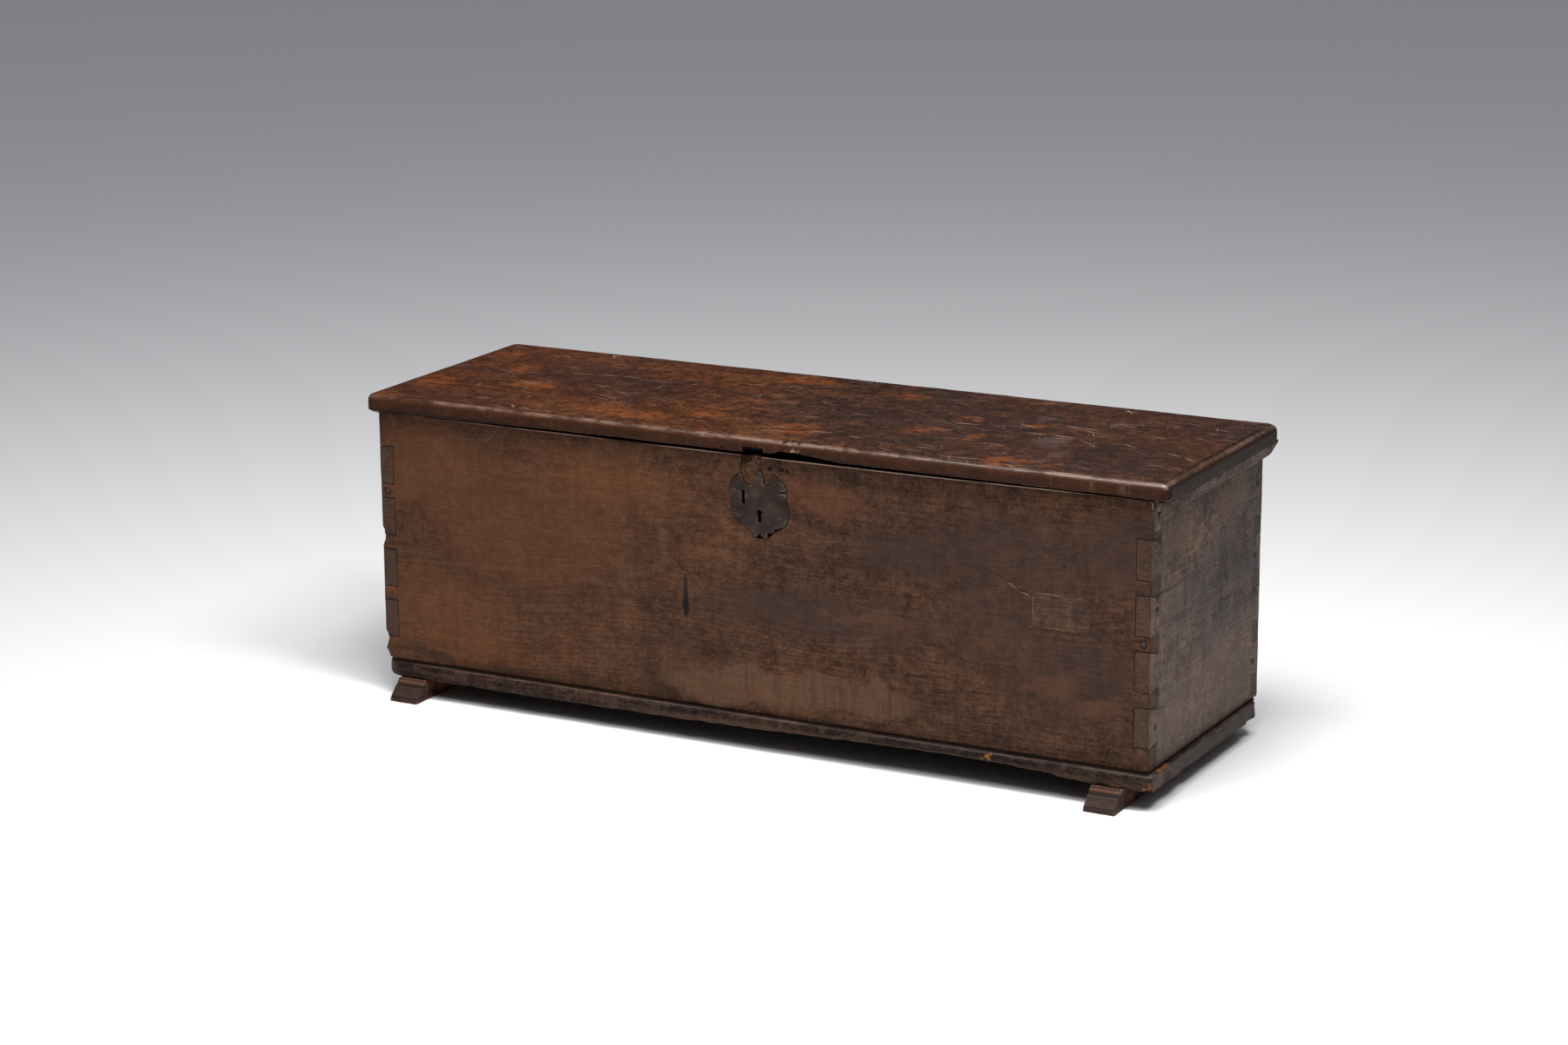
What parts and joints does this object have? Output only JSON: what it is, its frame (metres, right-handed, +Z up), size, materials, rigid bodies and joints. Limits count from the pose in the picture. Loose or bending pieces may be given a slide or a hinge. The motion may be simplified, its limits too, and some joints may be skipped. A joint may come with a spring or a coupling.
{
  "type": "wooden storage chest",
  "caption": "Long low wooden chest with dovetailed corners, a hinged plank lid with end cleats, a scalloped lock plate and moulded runner feet.",
  "frame": {"origin": "middle of the footprint's bounding box, at the underside of the runner feet", "axes": "+X along the chest to the right as seen from its front, +Y from the front to the back, +Z up"},
  "size_m": [1.3946, 0.5022, 0.5029],
  "materials": {
    "walnut": "old waxed hardwood, worn and stained",
    "lid_walnut": "old waxed hardwood, redder and scratched",
    "foot_wood": "worn, lightly waxed wood",
    "patch_wood": "let-in repair wood, matt",
    "wrought_iron": "dark, waxed wrought iron"
  },
  "bodies": {
    "case": {"back_board": "walnut", "base_board": "walnut", "base_nail_front_1": "wrought_iron", "base_nail_front_2": "wrought_iron", "base_nail_front_3": "wrought_iron", "base_nail_rear_1": "wrought_iron", "base_nail_rear_2": "wrought_iron", "base_nail_rear_3": "wrought_iron", "corner_nail_left_front_1": "wrought_iron", "corner_nail_left_front_2": "wrought_iron", "corner_nail_left_front_3": "wrought_iron", "corner_nail_left_front_4": "wrought_iron", "corner_nail_left_rear_1": "wrought_iron", "corner_nail_left_rear_2": "wrought_iron", "corner_nail_right_front_1": "wrought_iron", "corner_nail_right_front_2": "wrought_iron", "corner_nail_right_front_3": "wrought_iron", "corner_nail_right_front_4": "wrought_iron", "corner_nail_right_rear_1": "wrought_iron", "corner_nail_right_rear_2": "wrought_iron", "face_nail_left": "wrought_iron", "face_nail_right": "wrought_iron", "foot_left": "foot_wood", "foot_nail_left_1": "wrought_iron", "foot_nail_left_2": "wrought_iron", "foot_nail_right_1": "wrought_iron", "foot_nail_right_2": "wrought_iron", "foot_right": "foot_wood", "front_board": "walnut", "front_patch": "patch_wood", "hinge_pin_case_left": "wrought_iron", "hinge_pin_case_middle": "wrought_iron", "hinge_pin_case_right": "wrought_iron", "left_end_board": "walnut", "lock_guide_left": "wrought_iron", "lock_guide_right": "wrought_iron", "lock_plate": "wrought_iron", "lock_spring": "wrought_iron", "plate_nail_1": "wrought_iron", "plate_nail_2": "wrought_iron", "plate_nail_3": "wrought_iron", "plate_nail_4": "wrought_iron", "plate_nail_5": "wrought_iron", "right_end_board": "walnut", "side_patch": "patch_wood"},
    "lid": {"cleat_nail_left_1": "wrought_iron", "cleat_nail_left_2": "wrought_iron", "cleat_nail_left_3": "wrought_iron", "cleat_nail_right_1": "wrought_iron", "cleat_nail_right_2": "wrought_iron", "cleat_nail_right_3": "wrought_iron", "hinge_pin_lid_left": "wrought_iron", "hinge_pin_lid_middle": "wrought_iron", "hinge_pin_lid_right": "wrought_iron", "lid_board": "lid_walnut", "lid_cleat_left": "walnut", "lid_cleat_right": "walnut"},
    "lock_bolt": {"lock_bolt": "wrought_iron"}
  },
  "joints": [
    {"name": "lid_hinge", "type": "hinge", "parent": "case", "child": "lid", "pos_m": [0, 0.24435, 0.4752], "axis": [-1, 0, 0], "range_deg": [0, 100]},
    {"name": "lock_bolt_slide", "type": "slide", "parent": "case", "child": "lock_bolt", "axis": [-1, 0, 0], "range_m": [0, 0.0125]}
  ]
}
